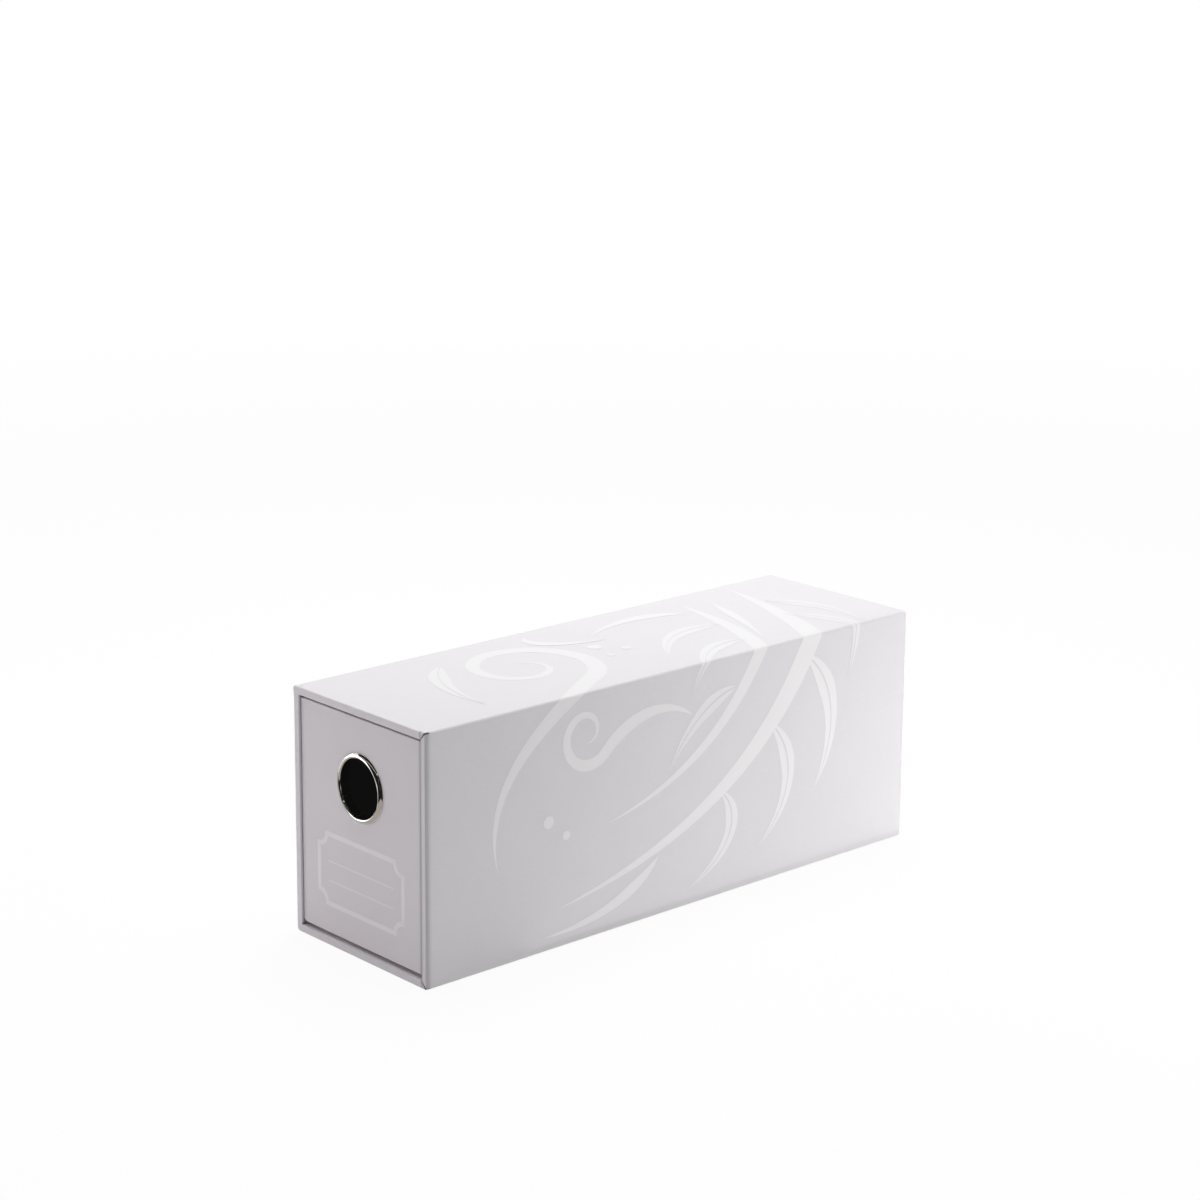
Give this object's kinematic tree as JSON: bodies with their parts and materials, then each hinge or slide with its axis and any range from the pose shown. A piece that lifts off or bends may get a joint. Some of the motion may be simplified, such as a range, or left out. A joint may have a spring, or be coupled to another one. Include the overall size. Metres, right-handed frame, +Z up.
{
  "type": "trading card drawer box",
  "caption": "Long paper-wrapped card box: a board sleeve open at the front holds a drawer that slides out by a metal finger eyelet.",
  "frame": {"origin": "middle of the underside, on the surface that the box stands on", "axes": "+Z up; the drawer front faces -Y and the drawer slides out along -Y; +X to the right seen from the front"},
  "size_m": [0.0896, 0.288, 0.1106],
  "materials": {
    "printed_paper": "matt laminated pale lavender-grey wrapping paper",
    "cover_paper": "plain matt wrapping paper",
    "greyboard": "raw grey pasteboard",
    "stay_tape": "brown gummed paper tape",
    "black_lining": "matt black lining paper",
    "nickel": "polished nickel plate"
  },
  "bodies": {
    "sleeve": {"sleeve_top_board": "greyboard", "sleeve_bottom_board": "greyboard", "sleeve_left_board": "greyboard", "sleeve_right_board": "greyboard", "sleeve_back_board": "greyboard", "sleeve_wrap": "printed_paper", "sleeve_base_sheet": "cover_paper", "sleeve_back_sheet": "cover_paper", "sleeve_lining": "black_lining", "sleeve_back_lining": "black_lining", "sleeve_stay_top_right": "stay_tape", "sleeve_stay_top_left": "stay_tape", "sleeve_stay_bottom_left": "stay_tape", "sleeve_stay_bottom_right": "stay_tape"},
    "drawer": {"drawer_front_board": "greyboard", "drawer_back_board": "greyboard", "drawer_left_board": "greyboard", "drawer_right_board": "greyboard", "drawer_bottom_board": "greyboard", "drawer_wrap": "printed_paper", "drawer_lining": "black_lining", "drawer_stay_back_right": "stay_tape", "drawer_stay_back_left": "stay_tape", "drawer_stay_front_left": "stay_tape", "drawer_stay_front_right": "stay_tape", "eyelet_ring": "nickel", "eyelet_washer": "nickel"}
  },
  "joints": [
    {"name": "drawer_slide", "type": "slide", "parent": "sleeve", "child": "drawer", "axis": [0, -1, 0], "range_m": [0, 0.26]}
  ]
}
